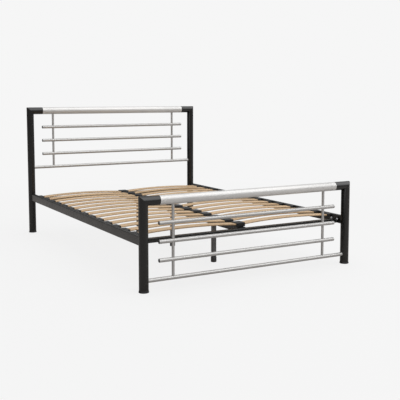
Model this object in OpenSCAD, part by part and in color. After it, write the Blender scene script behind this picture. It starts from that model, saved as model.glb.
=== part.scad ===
// Double bed frame: tubular steel head and foot panels, steel side rails,
// a centre beam on three levelling legs, and two rows of sprung wooden slats.
// Millimetres. +X across the bed, +Y towards the head, +Z up.
// Origin: on the floor, at the middle of the bed.

/* [Bed size] */
// Distance between the left and right post centres
post_spacing = 1370; // [1170:10:1670]
// Distance between the head and foot post centres
end_spacing = 1970; // [1870:10:2070]
// Height of the head panel's top rail, at its centre
head_rail_z = 920; // [880:2:1100]
// Height of the foot panel's top rail, at its centre
foot_rail_z = 485; // [480:1:520]

/* [End panels] */
// Diameter of the posts, the corner returns and the top rails
tube_d = 52; // [48:1:55]
// Wall of those tubes
tube_wall = 1.5; // [1.2:0.1:2]
// Distance from the middle of the bed to the joint between return and rail
joint_x = 593; // [580:1:620]
// Diameter of the horizontal rods
rod_d = 22; // [20:1:24]
// Diameter of the short uprights between the rods
upright_d = 16; // [14:1:19]
// Wall of the rods and uprights
rod_wall = 1.2; // [1:0.1:1.5]
// Distance from the middle of the bed to each row of uprights
upright_x = 510; // [460:5:540]
// Distance from the middle of the bed to the free end of a rod
rod_end_x = 594; // [560:1:610]
// Drop from the top rail's centre to the first rod's centre
first_rod_drop = 123; // [110:1:130]
// Spacing of the three free rods and of the bottom rod, which joins the posts
rod_pitch = 101; // [95:0.5:105]
// Number of turned grooves at each end of a top rail
groove_count = 3; // [1:1:4]
// Spacing of those grooves
groove_pitch = 11; // [8:1:18]

/* [Feet of the posts] */
// Height of the flared rim of a post's foot cap
cap_h = 10; // [8:1:25]
// Diameter of that rim on the floor
cap_d = 56; // [53:1:62]

/* [Side rails and cross bars] */
// Height of a side rail
side_rail_h = 50; // [45:1:60]
// Thickness of a side rail
side_rail_t = 25; // [25:1:30]
// Height of the top of the side rails above the floor
side_rail_top = 295; // [285:1:320]
// Width of a cross bar
cross_bar_w = 30; // [25:1:35]
// Height of a cross bar
cross_bar_h = 25; // [25:1:28]
// Wall of the rails, the bars, the beam and the legs
bar_wall = 1.5; // [1.2:0.1:2]

/* [Centre beam and legs] */
// Width of the centre beam
beam_w = 40; // [35:1:50]
// Height of the centre beam
beam_h = 30; // [28:1:40]
// Side of a leg's square tube
leg_w = 25; // [25:1:30]
// Distance between the centre legs
leg_pitch = 555; // [450:5:600]
// Height of a levelling foot's pad
pad_h = 44; // [38:1:48]
// Diameter of that pad
pad_d = 36; // [32:1:40]
// How far the foot can still be screwed in from where it stands
screw_in = 8; // [4:1:10]

/* [Slats] */
// Slats in each of the two rows
slat_count = 14; // [12:1:14]
// Spacing of the slats
slat_pitch = 128; // [100:1:128]
// Width of a slat
slat_w = 60; // [50:1:63]
// Thickness of a slat
slat_t = 8; // [7:0.5:8]
// How far the middle of a slat stands above its ends
slat_crown = 14; // [8:1:15]

/* [Hidden] */
$fn = 64;

BLACK = [0.12, 0.12, 0.12];
CHARCOAL = [0.24, 0.24, 0.25];
SILVER = [0.72, 0.72, 0.71];
ZINC = [0.62, 0.63, 0.65];
PLASTIC = [0.07, 0.07, 0.07];
GREY_PLASTIC = [0.25, 0.25, 0.26];
WOOD = [0.80, 0.65, 0.46];

eps = 1;
post_x = post_spacing / 2;
post_y = end_spacing / 2;

// Foot caps
cap_floor = 5;
cap_rim_d = tube_d + 1.6;
cap_plug_h = 34;

// Joint between a return and its top rail
sleeve_len = 110;
sleeve_gap = 0.1;
groove_first = 5;
groove_w = 3;
groove_depth = 0.6;

// Rod plugs
plug_stem = 14;
plug_dome = 3;

// Side rails, cross bars and the corner joint
rail_corner = 3;
rail_mid_z = side_rail_top - side_rail_h / 2;
rail_bottom = side_rail_top - side_rail_h;
rail_end_y = post_y - tube_d / 2 - 2;
rail_inner_x = post_x - side_rail_t / 2;
spigot_gap = 0.7;
spigot_wall = 2;
cross_bar_y = post_y - 80;
bolt_offset = 27;
spigot_tip_y = cross_bar_y - bolt_offset - 18;
plate_l = 74;
plate_h = 44;
plate_t = 4;
spigot_inner_x = rail_inner_x + bar_wall + spigot_gap;

// Fasteners
m8 = 8;
m8_shank = 7.8;
m8_hole = 8.6;
m8_head_d = 14;
m8_head_h = 4.4;
m8_nut_w = 13;
m8_nut_h = 6.5;
m8_washer_d = 16;
washer_t = 1.6;
m8_len = 19;
m6_shank = 5.8;
m6_hole = 6.4;
m6_head_d = 10.5;
m6_head_h = 3.3;
m6_nut_w = 10;
m6_nut_h = 5;

// Beam
beam_top = rail_bottom + cross_bar_h;
beam_bottom = beam_top - beam_h;
beam_end_y = cross_bar_y - cross_bar_w / 2 - 1;
bracket_l = 32;
bracket_h = 20;
bracket_t = 3;
bracket_mid_z = beam_top - bracket_h / 2 - 3;

// Legs and levelling feet
leg_y = [leg_pitch, 0, -leg_pitch];
leg_plate_t = 4;
leg_plate_w = 38;
leg_plate_l = 66;
leg_screw_y = 23;
leg_top = beam_bottom - leg_plate_t;
insert_flange = 2;
leg_bottom = pad_h + screw_in + 0.5 + insert_flange;
insert_h = 24;
stud_d = 8;
stud_bore = 8.15;
stud_in_pad = 32;
stud_top = leg_bottom + insert_h + 4;

// Slats and their holders
slot_h = slat_t + 2.5;
slot_z = 279.75 - 295 + side_rail_top;
side_holder_w = 26;
side_slot = 23;
centre_holder_w = 60;
centre_slot = 20;
holder_l = slat_w + 6;
holder_h = 18;
holder_z = slot_z - 3.75;
peg_d = 6;
peg_hole = 6.3;
peg_y = 20;
slat_out = rail_inner_x - (side_holder_w - side_slot) - 1;
slat_in = centre_holder_w / 2 - centre_slot + 1;
slat_span = slat_out - slat_in;
slat_r = (pow(slat_span / 2, 2) + pow(slat_crown, 2)) / (2 * slat_crown);
slat_half_angle = asin(slat_span / 2 / slat_r);

function slat_y(i) = (i - (slat_count - 1) / 2) * slat_pitch;
function rod_z(rail_z, i) = rail_z - first_rod_drop - i * rod_pitch;

// ---- Plain shapes -------------------------------------------------------

// A rectangle with round corners, centred
module round_rect(w, h, r) {
    square([w - 2 * r, h], center = true);
    square([w, h - 2 * r], center = true);
    for (x = [-1, 1], y = [-1, 1])
        translate([x * (w / 2 - r), y * (h / 2 - r)])
            circle(r = r, $fn = 24);
}

// The section of a rectangular steel tube
module box_section(w, h, r, wall) {
    difference() {
        round_rect(w, h, r);
        round_rect(w - 2 * wall, h - 2 * wall, r - wall * 0.6);
    }
}

// A round tube standing on z = 0
module tube(d, wall, len) {
    difference() {
        cylinder(d = d, h = len);
        translate([0, 0, -eps])
            cylinder(d = d - 2 * wall, h = len + 2 * eps);
    }
}

// Lays a shape that runs up from z = 0 along +X
module along_x() {
    rotate([0, 90, 0])
        children();
}

// Lays a shape that runs up from z = 0 along +Y, keeping its section upright
module along_y() {
    rotate([-90, 0, 0])
        children();
}

// Keeps a shape on the left, or mirrors it to the right
module on_side(side) {
    if (side == "left")
        children();
    else
        mirror([1, 0, 0])
            children();
}

// Copies a corner's shape to the four corners of the bed
module at_corners() {
    for (x = [0, 1], y = [0, 1])
        mirror([x, 0, 0])
            mirror([0, y, 0])
                children();
}

// A button-head screw: the head's underside at z = 0, the shank down
module button_screw(shank_d, head_d, head_h, len) {
    difference() {
        union() {
            intersection() {
                cylinder(d = head_d, h = head_h);
                translate([0, 0, head_h - head_d * 0.72])
                    sphere(d = head_d * 1.44);
            }
            translate([0, 0, -len])
                cylinder(d = shank_d, h = len + eps, $fn = 32);
        }
        translate([0, 0, head_h * 0.4])
            cylinder(d = shank_d * 0.72, h = head_h, $fn = 6);
    }
}

// A hexagon nut standing on z = 0
module hex_nut(width, h, hole_d) {
    difference() {
        cylinder(d = width / cos(30), h = h, $fn = 6);
        translate([0, 0, -eps])
            cylinder(d = hole_d, h = h + 2 * eps, $fn = 32);
    }
}

// ---- End panels ---------------------------------------------------------

// Everything on one side of a corner's 45 degree mitre
module mitre_half(rail_z, keep_post) {
    big = 4 * tube_d;
    translate([-post_x, 0, rail_z])
        rotate([0, 45, 0])
            translate([-big / 2, -big / 2, keep_post ? 0 : -big])
                cube(big);
}

// A corner post, mitred at the top
module post(rail_z) {
    color(BLACK)
        difference() {
            translate([-post_x, 0, cap_floor])
                tube(tube_d, tube_wall, rail_z - cap_floor + tube_d);
            mitre_half(rail_z, true);
        }
}

// The short return that turns the post's line into the top rail
module corner_return(rail_z) {
    start = -post_x - tube_d;
    color(BLACK)
        difference() {
            translate([start, 0, rail_z])
                along_x()
                    tube(tube_d, tube_wall, -joint_x - start);
            mitre_half(rail_z, false);
        }
}

// A ring groove around the top rail
module ring_groove(x) {
    translate([x - groove_w / 2, 0, 0])
        along_x()
            difference() {
                cylinder(d = tube_d + 4, h = groove_w);
                translate([0, 0, -eps])
                    cylinder(d = tube_d - 2 * groove_depth, h = groove_w + 2 * eps);
            }
}

// The top rail, with turned grooves near each end
module top_rail(rail_z) {
    color(SILVER)
        translate([0, 0, rail_z])
            difference() {
                translate([-joint_x, 0, 0])
                    along_x()
                        tube(tube_d, tube_wall + groove_depth, 2 * joint_x);
                for (side = [-1, 1], i = [0:groove_count - 1])
                    ring_groove(side * (joint_x - groove_first - i * groove_pitch));
            }
}

// The hidden sleeves that hold the returns and the top rail in line
module joint_sleeves(rail_z) {
    bore = tube_d - 2 * (tube_wall + groove_depth);
    color(ZINC)
        for (side = [-1, 1])
            translate([side * joint_x - sleeve_len / 2, 0, rail_z])
                along_x()
                    tube(bore - 2 * sleeve_gap, tube_wall, sleeve_len);
}

// One free horizontal rod
module rod(rail_z, i) {
    color(SILVER)
        translate([-rod_end_x, 0, rod_z(rail_z, i)])
            along_x()
                tube(rod_d, rod_wall, 2 * rod_end_x);
}

// The bottom rod, cut to the round of the posts that it is welded to
module bottom_rod(rail_z) {
    color(SILVER)
        difference() {
            translate([-post_x, 0, rod_z(rail_z, 3)])
                along_x()
                    tube(rod_d, rod_wall, 2 * post_x);
            for (side = [-1, 1])
                translate([side * post_x, 0, 0])
                    cylinder(d = tube_d, h = rail_z);
        }
}

// The short uprights of one row, cut to the round of what they meet
module uprights(rail_z) {
    levels = [rail_z, for (i = [0:3]) rod_z(rail_z, i)];
    color(SILVER)
        difference() {
            for (i = [0:3])
                translate([-upright_x, 0, levels[i + 1]])
                    tube(upright_d, rod_wall, levels[i] - levels[i + 1]);
            translate([-upright_x - rod_d, 0, 0]) {
                translate([0, 0, rail_z])
                    along_x()
                        cylinder(d = tube_d, h = 2 * rod_d);
                for (i = [0:3])
                    translate([0, 0, rod_z(rail_z, i)])
                        along_x()
                            cylinder(d = rod_d, h = 2 * rod_d);
            }
        }
}

// A plug with a low dome, closing a rod's end, pointing up from z = 0
module rod_plug() {
    dome_r = (pow(rod_d / 2, 2) + pow(plug_dome, 2)) / (2 * plug_dome);
    intersection() {
        cylinder(d = rod_d, h = plug_dome);
        translate([0, 0, plug_dome - dome_r])
            sphere(r = dome_r, $fn = 96);
    }
    translate([0, 0, -plug_stem])
        cylinder(d = rod_d - 2 * rod_wall - 0.2, h = plug_stem + 0.01);
}

// The plugs of the three free rods of one panel
module rod_plugs(rail_z) {
    color(GREY_PLASTIC)
        for (i = [0:2], side = [0, 1])
            mirror([side, 0, 0])
                translate([rod_end_x, 0, rod_z(rail_z, i)])
                    along_x()
                        rod_plug();
}

// The flared cap under a post: a rim around the tube and a plug inside it
module foot_cap() {
    color(PLASTIC)
        translate([-post_x, 0, 0])
            rotate_extrude()
                polygon([
                    [0, 0], [cap_d / 2 - 1.5, 0], [cap_d / 2, 1.5], [cap_d / 2, 4],
                    [cap_rim_d / 2, cap_h], [tube_d / 2 + 0.1, cap_h],
                    [tube_d / 2 + 0.1, cap_floor], [tube_d / 2 - tube_wall - 0.1, cap_floor],
                    [tube_d / 2 - tube_wall - 0.1, cap_plug_h - 2],
                    [tube_d / 2 - tube_wall - 2, cap_plug_h], [tube_d / 2 - 6, cap_plug_h],
                    [tube_d / 2 - 6, cap_floor + 3], [0, cap_floor + 3]
                ]);
}

// ---- Side rails, cross bars and the corner joint ------------------------

// Where the two bolts of a corner sit along the bed
module at_corner_bolts() {
    for (y = [-bolt_offset, bolt_offset])
        translate([0, cross_bar_y + y, rail_mid_z])
            children();
}

// The holes in the inner wall of a left rail: corner bolts and holder pegs
module rail_holes() {
    for (end = [0, 1])
        mirror([0, end, 0])
            at_corner_bolts()
                translate([-rail_inner_x - 2 * bar_wall, 0, 0])
                    along_x()
                        cylinder(d = m8_hole, h = 4 * bar_wall, $fn = 32);
    for (i = [0:slat_count - 1], y = [-peg_y, peg_y])
        translate([-rail_inner_x - 2 * bar_wall, slat_y(i) + y, holder_z + holder_h / 2])
            along_x()
                cylinder(d = peg_hole, h = 4 * bar_wall, $fn = 32);
}

// A side rail, a plain rectangular tube
module side_rail() {
    color(BLACK)
        difference() {
            translate([-post_x, -rail_end_y, rail_mid_z])
                along_y()
                    linear_extrude(2 * rail_end_y)
                        box_section(side_rail_t, side_rail_h, rail_corner, bar_wall);
            rail_holes();
        }
}

// The spigots welded to the posts, which the side rails slide over
module post_spigots() {
    spigot_w = side_rail_t - 2 * (bar_wall + spigot_gap);
    spigot_h = side_rail_h - 2 * (bar_wall + spigot_gap);
    color(BLACK)
        at_corners()
            difference() {
                translate([post_x, spigot_tip_y, rail_mid_z])
                    along_y()
                        linear_extrude(post_y - spigot_tip_y)
                            box_section(spigot_w, spigot_h, 2.2, spigot_wall);
                translate([post_x, post_y, 0])
                    cylinder(d = tube_d, h = 2 * rail_mid_z);
                at_corner_bolts()
                    translate([spigot_inner_x - eps, 0, 0])
                        along_x()
                            cylinder(d = m8_hole, h = spigot_wall + 2 * eps, $fn = 32);
            }
}

// The nuts welded inside the spigots
module corner_nuts() {
    color(ZINC)
        at_corners()
            at_corner_bolts()
                translate([spigot_inner_x + spigot_wall, 0, 0])
                    along_x()
                        hex_nut(m8_nut_w, m8_nut_h, m8);
}

// The plates at the ends of the cross bars
module cross_bar_plates() {
    color(BLACK)
        at_corners()
            difference() {
                translate([rail_inner_x - plate_t, cross_bar_y, rail_mid_z])
                    rotate([90, 0, 90])
                        linear_extrude(plate_t)
                            round_rect(plate_l, plate_h, 6);
                at_corner_bolts()
                    translate([rail_inner_x - plate_t - eps, 0, 0])
                        along_x()
                            cylinder(d = m8_hole, h = plate_t + 2 * eps, $fn = 32);
            }
}

// The washers under the corner bolts' heads
module corner_washers() {
    color(ZINC)
        at_corners()
            at_corner_bolts()
                translate([rail_inner_x - plate_t - washer_t, 0, 0])
                    along_x()
                        tube(m8_washer_d, (m8_washer_d - 8.4) / 2, washer_t);
}

// The bolts that clamp cross bar, side rail and post together
module corner_bolts() {
    color(ZINC)
        at_corners()
            at_corner_bolts()
                translate([rail_inner_x - plate_t - washer_t, 0, 0])
                    rotate([0, -90, 0])
                        button_screw(m8_shank, m8_head_d, m8_head_h, m8_len);
}

// A cross bar between the side rails, welded to its two plates
module cross_bar(end) {
    half = rail_inner_x - plate_t;
    color(BLACK)
        difference() {
            translate([-half, end * cross_bar_y, beam_top - cross_bar_h / 2])
                rotate([90, 0, 90])
                    linear_extrude(2 * half)
                        box_section(cross_bar_w, cross_bar_h, rail_corner, bar_wall);
            for (x = [-1, 1])
                translate([x * bracket_bolt_x, end * (cross_bar_y - cross_bar_w / 2), bracket_mid_z])
                    rotate([90, 0, 0])
                        cylinder(d = m6_hole, h = 6 * bar_wall, center = true, $fn = 32);
        }
}

// ---- Centre beam and its brackets ---------------------------------------

bracket_bolt_x = beam_w / 2 + bracket_t + (bracket_l - bracket_t) / 2 + 1;
bracket_bolt_y = beam_end_y - 17;

// The centre beam, which carries the inner ends of the slats
module centre_beam() {
    color(BLACK)
        difference() {
            translate([0, -beam_end_y, beam_top - beam_h / 2])
                along_y()
                    linear_extrude(2 * beam_end_y)
                        box_section(beam_w, beam_h, rail_corner, bar_wall);
            for (end = [-1, 1])
                translate([-beam_w, end * bracket_bolt_y, bracket_mid_z])
                    along_x()
                        cylinder(d = m6_hole, h = 2 * beam_w, $fn = 32);
            for (i = [0:slat_count - 1], y = [-peg_y, peg_y])
                translate([0, slat_y(i) + y, beam_top - 2 * bar_wall])
                    cylinder(d = peg_hole, h = 4 * bar_wall, $fn = 32);
            for (y0 = leg_y, y = [-leg_screw_y, leg_screw_y])
                translate([0, y0 + y, beam_bottom - 2 * bar_wall])
                    cylinder(d = m6_hole, h = 4 * bar_wall, $fn = 32);
        }
}

// The angle brackets that hang the beam from the cross bars
module beam_brackets() {
    face_y = cross_bar_y - cross_bar_w / 2;
    color(BLACK)
        at_corners()
            difference() {
                translate([0, 0, bracket_mid_z - bracket_h / 2]) {
                    translate([beam_w / 2, face_y - bracket_l, 0])
                        cube([bracket_t, bracket_l, bracket_h]);
                    translate([beam_w / 2, face_y - bracket_t, 0])
                        cube([bracket_l, bracket_t, bracket_h]);
                }
                translate([beam_w / 2 - eps, bracket_bolt_y, bracket_mid_z])
                    along_x()
                        cylinder(d = m6_hole, h = bracket_t + 2 * eps, $fn = 32);
                translate([bracket_bolt_x, face_y - bracket_t - eps, bracket_mid_z])
                    along_y()
                        cylinder(d = m6_hole, h = bracket_t + 2 * eps, $fn = 32);
            }
}

// The screws of the brackets: one through the beam and two into the cross
// bar at each end
module beam_bolts() {
    out_x = beam_w / 2 + bracket_t;
    face_y = cross_bar_y - cross_bar_w / 2 - bracket_t;
    color(ZINC)
        for (end = [0, 1])
            mirror([0, end, 0]) {
                translate([out_x, bracket_bolt_y, bracket_mid_z])
                    rotate([0, 90, 0])
                        button_screw(m6_shank, m6_head_d, m6_head_h, 2 * out_x + m6_nut_h + 2);
                for (x = [-1, 1])
                    translate([x * bracket_bolt_x, face_y, bracket_mid_z])
                        rotate([90, 0, 0])
                            button_screw(m6_shank, m6_head_d, m6_head_h, 14);
            }
}

// The nuts on those screws: on the beam's far side and inside the cross bar
module beam_nuts() {
    out_x = beam_w / 2 + bracket_t;
    inside_y = cross_bar_y - cross_bar_w / 2 + bar_wall;
    color(ZINC)
        for (end = [0, 1])
            mirror([0, end, 0]) {
                translate([-out_x - m6_nut_h, bracket_bolt_y, bracket_mid_z])
                    along_x()
                        hex_nut(m6_nut_w, m6_nut_h, 6);
                for (x = [-1, 1])
                    translate([x * bracket_bolt_x, inside_y, bracket_mid_z])
                        along_y()
                            hex_nut(m6_nut_w, m6_nut_h, 6);
            }
}

// ---- Centre legs and levelling feet -------------------------------------

// A centre leg, a square tube standing under the beam
module leg(i) {
    color(CHARCOAL)
        translate([0, leg_y[i], leg_bottom])
            linear_extrude(leg_top - leg_bottom)
                box_section(leg_w, leg_w, 2.5, bar_wall);
}

// The plates on top of the legs
module leg_plates() {
    color(BLACK)
        for (y0 = leg_y)
            translate([0, y0, leg_top])
                difference() {
                    linear_extrude(leg_plate_t)
                        round_rect(leg_plate_w, leg_plate_l, 5);
                    for (y = [-leg_screw_y, leg_screw_y])
                        translate([0, y, -eps])
                            cylinder(d = m6_hole, h = leg_plate_t + 2 * eps, $fn = 32);
                }
}

// The screws that hold the leg plates to the beam
module leg_screws() {
    color(ZINC)
        for (y0 = leg_y, y = [-leg_screw_y, leg_screw_y])
            translate([0, y0 + y, leg_top])
                rotate([180, 0, 0])
                    button_screw(m6_shank, m6_head_d, m6_head_h, 14);
}

// The threaded inserts in the lower ends of the legs
module leg_inserts() {
    inner = leg_w - 2 * bar_wall - 0.2;
    color(PLASTIC)
        for (y0 = leg_y)
            translate([0, y0, leg_bottom])
                difference() {
                    union() {
                        linear_extrude(insert_h)
                            round_rect(inner, inner, 1.5);
                        translate([0, 0, -insert_flange])
                            linear_extrude(insert_flange)
                                round_rect(leg_w, leg_w, 2.5);
                    }
                    translate([0, 0, -insert_flange - eps])
                        cylinder(d = stud_bore, h = insert_h + insert_flange + 2 * eps);
                }
}

// The pad of a levelling foot, which a hand turns to raise or lower it
module leg_pad(i) {
    top_r = pad_d / 2 - 3;
    color(GREY_PLASTIC)
        translate([0, leg_y[i], 0])
            difference() {
                rotate_extrude()
                    polygon([
                        [0, 0], [pad_d / 2 - 3, 0], [pad_d / 2 - 1, 1], [pad_d / 2, 3],
                        [pad_d / 2, pad_h - 16], [top_r, pad_h - 1.5], [top_r - 1.5, pad_h],
                        [0, pad_h]
                    ]);
                translate([0, 0, pad_h - stud_in_pad])
                    cylinder(d = stud_d, h = stud_in_pad + eps);
            }
}

// The stud of a levelling foot
module leg_stud(i) {
    color(ZINC)
        translate([0, leg_y[i], pad_h - stud_in_pad])
            cylinder(d = stud_d, h = stud_top - pad_h + stud_in_pad);
}

// ---- Slats and their holders --------------------------------------------

// One slat of the left row: an arc across the bed, with rounded edges
module slat() {
    translate([-(slat_in + slat_out) / 2, slat_w / 2, slot_z + 0.1 + slat_crown - slat_r])
        rotate([90, 0, 0])
            rotate([0, 0, 90 - slat_half_angle])
                rotate_extrude(angle = 2 * slat_half_angle, $fn = 720)
                    translate([slat_r + slat_t / 2, slat_w / 2])
                        round_rect(slat_t, slat_w, 2.5);
}

// One row of slats
module slat_row() {
    color(WOOD)
        for (i = [0:slat_count - 1])
            translate([0, slat_y(i), 0])
                slat();
}

// A holder on the left rail's inner face, open towards the middle
module side_holder() {
    difference() {
        translate([-rail_inner_x + side_holder_w / 2, -holder_l / 2, holder_z + holder_h / 2])
            along_y()
                linear_extrude(holder_l)
                    round_rect(side_holder_w, holder_h, 2.5);
        translate([-rail_inner_x + side_holder_w - side_slot, -slat_w / 2 - 0.3, slot_z])
            cube([side_slot + eps, slat_w + 0.6, slot_h]);
    }
    for (y = [-peg_y, peg_y])
        translate([-rail_inner_x - 7, y, holder_z + holder_h / 2])
            along_x()
                cylinder(d = peg_d, h = 7.01, $fn = 32);
}

// One row of side holders
module side_holders() {
    color(PLASTIC)
        for (i = [0:slat_count - 1])
            translate([0, slat_y(i), 0])
                side_holder();
}

// A double holder on the beam, open to both sides
module centre_holder() {
    top = holder_z + holder_h;
    difference() {
        translate([0, -holder_l / 2, (top + beam_top) / 2])
            along_y()
                linear_extrude(holder_l)
                    round_rect(centre_holder_w, top - beam_top, 2.5);
        for (side = [0, 1])
            mirror([side, 0, 0])
                translate([centre_holder_w / 2 - centre_slot, -slat_w / 2 - 0.3, slot_z])
                    cube([centre_slot + eps, slat_w + 0.6, slot_h]);
    }
    for (y = [-peg_y, peg_y])
        translate([0, y, beam_top - 7])
            cylinder(d = peg_d, h = 7.01, $fn = 32);
}

// The row of double holders
module centre_holders() {
    color(PLASTIC)
        for (i = [0:slat_count - 1])
            translate([0, slat_y(i), 0])
                centre_holder();
}

// ---- The two ends of the bed --------------------------------------------

module at_head() {
    translate([0, post_y, 0])
        children();
}

module at_foot() {
    translate([0, -post_y, 0])
        children();
}

// ---- The assembly -------------------------------------------------------

at_head() on_side("left") post(head_rail_z);  // head_post_left
at_head() on_side("right") post(head_rail_z);  // head_post_right
at_head() on_side("left") corner_return(head_rail_z);  // head_return_left
at_head() on_side("right") corner_return(head_rail_z);  // head_return_right
at_head() top_rail(head_rail_z);  // head_top_rail
at_head() joint_sleeves(head_rail_z);  // head_joint_sleeves
at_head() rod(head_rail_z, 0);  // head_rod_upper
at_head() rod(head_rail_z, 1);  // head_rod_middle
at_head() rod(head_rail_z, 2);  // head_rod_lower
at_head() bottom_rod(head_rail_z);  // head_bottom_rod
at_head() on_side("left") uprights(head_rail_z);  // head_uprights_left
at_head() on_side("right") uprights(head_rail_z);  // head_uprights_right
at_head() rod_plugs(head_rail_z);  // head_rod_plugs
at_head() on_side("left") foot_cap();  // head_cap_left
at_head() on_side("right") foot_cap();  // head_cap_right

at_foot() on_side("left") post(foot_rail_z);  // foot_post_left
at_foot() on_side("right") post(foot_rail_z);  // foot_post_right
at_foot() on_side("left") corner_return(foot_rail_z);  // foot_return_left
at_foot() on_side("right") corner_return(foot_rail_z);  // foot_return_right
at_foot() top_rail(foot_rail_z);  // foot_top_rail
at_foot() joint_sleeves(foot_rail_z);  // foot_joint_sleeves
at_foot() rod(foot_rail_z, 0);  // foot_rod_upper
at_foot() rod(foot_rail_z, 1);  // foot_rod_middle
at_foot() rod(foot_rail_z, 2);  // foot_rod_lower
at_foot() bottom_rod(foot_rail_z);  // foot_bottom_rod
at_foot() on_side("left") uprights(foot_rail_z);  // foot_uprights_left
at_foot() on_side("right") uprights(foot_rail_z);  // foot_uprights_right
at_foot() rod_plugs(foot_rail_z);  // foot_rod_plugs
at_foot() on_side("left") foot_cap();  // foot_cap_left
at_foot() on_side("right") foot_cap();  // foot_cap_right

on_side("left") side_rail();  // side_rail_left
on_side("right") side_rail();  // side_rail_right
post_spigots();
corner_bolts();
corner_washers();
corner_nuts();
cross_bar(1);  // head_cross_bar
cross_bar(-1);  // foot_cross_bar
cross_bar_plates();

centre_beam();
beam_brackets();
beam_bolts();
beam_nuts();
leg(0);  // head_leg
leg(1);  // middle_leg
leg(2);  // foot_leg
leg_plates();
leg_screws();
leg_inserts();
leg_pad(0);  // head_leg_pad
leg_pad(1);  // middle_leg_pad
leg_pad(2);  // foot_leg_pad
leg_stud(0);  // head_leg_stud
leg_stud(1);  // middle_leg_stud
leg_stud(2);  // foot_leg_stud

on_side("left") slat_row();  // slats_left
on_side("right") slat_row();  // slats_right
on_side("left") side_holders();  // side_holders_left
on_side("right") side_holders();  // side_holders_right
centre_holders();
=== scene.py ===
import math

import bmesh
import bpy
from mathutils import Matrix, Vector


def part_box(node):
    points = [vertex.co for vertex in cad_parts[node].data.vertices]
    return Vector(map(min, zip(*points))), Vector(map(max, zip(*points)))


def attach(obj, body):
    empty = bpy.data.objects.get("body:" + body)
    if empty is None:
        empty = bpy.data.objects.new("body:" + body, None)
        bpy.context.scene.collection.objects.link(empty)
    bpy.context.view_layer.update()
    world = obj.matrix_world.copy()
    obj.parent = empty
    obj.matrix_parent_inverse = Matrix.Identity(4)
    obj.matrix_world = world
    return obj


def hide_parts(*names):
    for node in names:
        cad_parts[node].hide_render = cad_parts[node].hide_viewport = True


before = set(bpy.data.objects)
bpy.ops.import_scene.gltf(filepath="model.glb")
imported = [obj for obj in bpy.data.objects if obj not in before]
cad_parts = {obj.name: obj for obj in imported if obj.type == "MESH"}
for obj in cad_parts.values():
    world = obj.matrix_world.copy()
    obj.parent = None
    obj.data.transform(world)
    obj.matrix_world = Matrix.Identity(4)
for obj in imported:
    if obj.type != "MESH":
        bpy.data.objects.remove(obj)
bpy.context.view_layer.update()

MM = 0.001
ENDS = ("head", "foot")
SIDES = {"left": -1, "right": 1}
LEGS = ("head", "middle", "foot")
BODY = "frame"

# Walls, edges and counts that a node's box doesn't tell
TUBE_WALL = 1.5 * MM
RAIL_WALL = 2.1 * MM
ROD_WALL = 1.2 * MM
BAR_WALL = 1.5 * MM
BAR_CORNER = 3.0 * MM
LEG_CORNER = 2.5 * MM
BAR_PLATE_CORNER = 6.0 * MM
LEG_PLATE_CORNER = 5.0 * MM
EDGE = 0.35 * MM
GROOVE_FIRST = 5.0 * MM
GROOVE_PITCH = 11.0 * MM
GROOVE_COUNT = 3
GROOVE_WIDTH = 3.0 * MM
GROOVE_DEPTH = 0.6 * MM
GROOVE_STEPS = 8
CAP_RIM = 10.0 * MM
BRACKET = 3.0 * MM
BRACKET_BOLT = 17.0 * MM
LEG_SCREW = 23.0 * MM
INSERT_DEPTH = 22.0 * MM
FLUTE_DEPTH = 1.1 * MM
FLUTES = 16
SLAT_COUNT = 14
SLAT_WIDTH = 60.0 * MM
SLAT_THICK = 8.0 * MM
SLAT_EDGE = 2.8 * MM
SLAT_STEPS = 36
PLIES = 7
HOLDER_LENGTH = SLAT_WIDTH + 6 * MM
HOLDER_EDGE = 2.5 * MM
SLOT_LENGTH = SLAT_WIDTH + 0.6 * MM
SLOT_HEIGHT = 10.5 * MM
SIDE_SLOT = 23.0 * MM
CENTRE_SLOT = 20.0 * MM

# Radii of the weld beads
UPRIGHT_BEAD = 0.9 * MM
ROD_BEAD = 1.1 * MM
LEG_BEAD = 1.1 * MM
BAR_BEAD = 1.2 * MM

# Fasteners: bolts at the corners, screws and nuts at the beam and the legs, and the feet's thread
WASHER = 1.6 * MM
WASHER_BORE = 4.2 * MM
BOLT_RADIUS = 3.9 * MM
BOLT_HEAD_HEIGHT = 4.4 * MM
BOLT_LENGTH = 19.0 * MM
SCREW_RADIUS = 2.9 * MM
SCREW_HEAD_RADIUS = 5.25 * MM
SCREW_HEAD_HEIGHT = 3.3 * MM
SCREW_LENGTH = 14.0 * MM
SCREW_PAST_BRACKET = 7.0 * MM
NUT_WIDTH = 10.0 * MM
NUT_HEIGHT = 5.0 * MM
NUT_BORE = 3.0 * MM
THREAD_PITCH = 1.25 * MM
THREAD_DEPTH = 0.68 * MM

# Points round a post, a rod, a small fastener, a levelling pad, its stud and a weld bead
POST_POINTS = 72
ROD_POINTS = 48
SMALL_POINTS = 36
PAD_POINTS = 96
STUD_POINTS = 24
BEAD_POINTS = 8

# Faces that meet at more than this angle keep a crisp edge between them
SHARP_ANGLE = math.radians(38)


# ---- Points and rings ----------------------------------------------------

X, Y, Z = Vector((1, 0, 0)), Vector((0, 1, 0)), Vector((0, 0, 1))
ACROSS = {"x": (X, Y, Z), "y": (Y, X, Z), "z": (Z, X, Y)}


def value(v, *args):
    """A number, or what a function makes of the arguments."""
    return v(*args) if callable(v) else v


def placed(origin, axis, t, outline):
    """The outline's points (u, v) around an axis, at t along it. t may depend on u and v."""
    along, u, v = ACROSS[axis]
    return [origin + along * value(t, a, b) + u * a + v * b for a, b in outline]


def circle(radius, count):
    """Points of a circle. The radius may depend on the angle."""
    angles = [2 * math.pi * i / count for i in range(count)]
    return [(value(radius, a) * math.cos(a), value(radius, a) * math.sin(a)) for a in angles]


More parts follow.
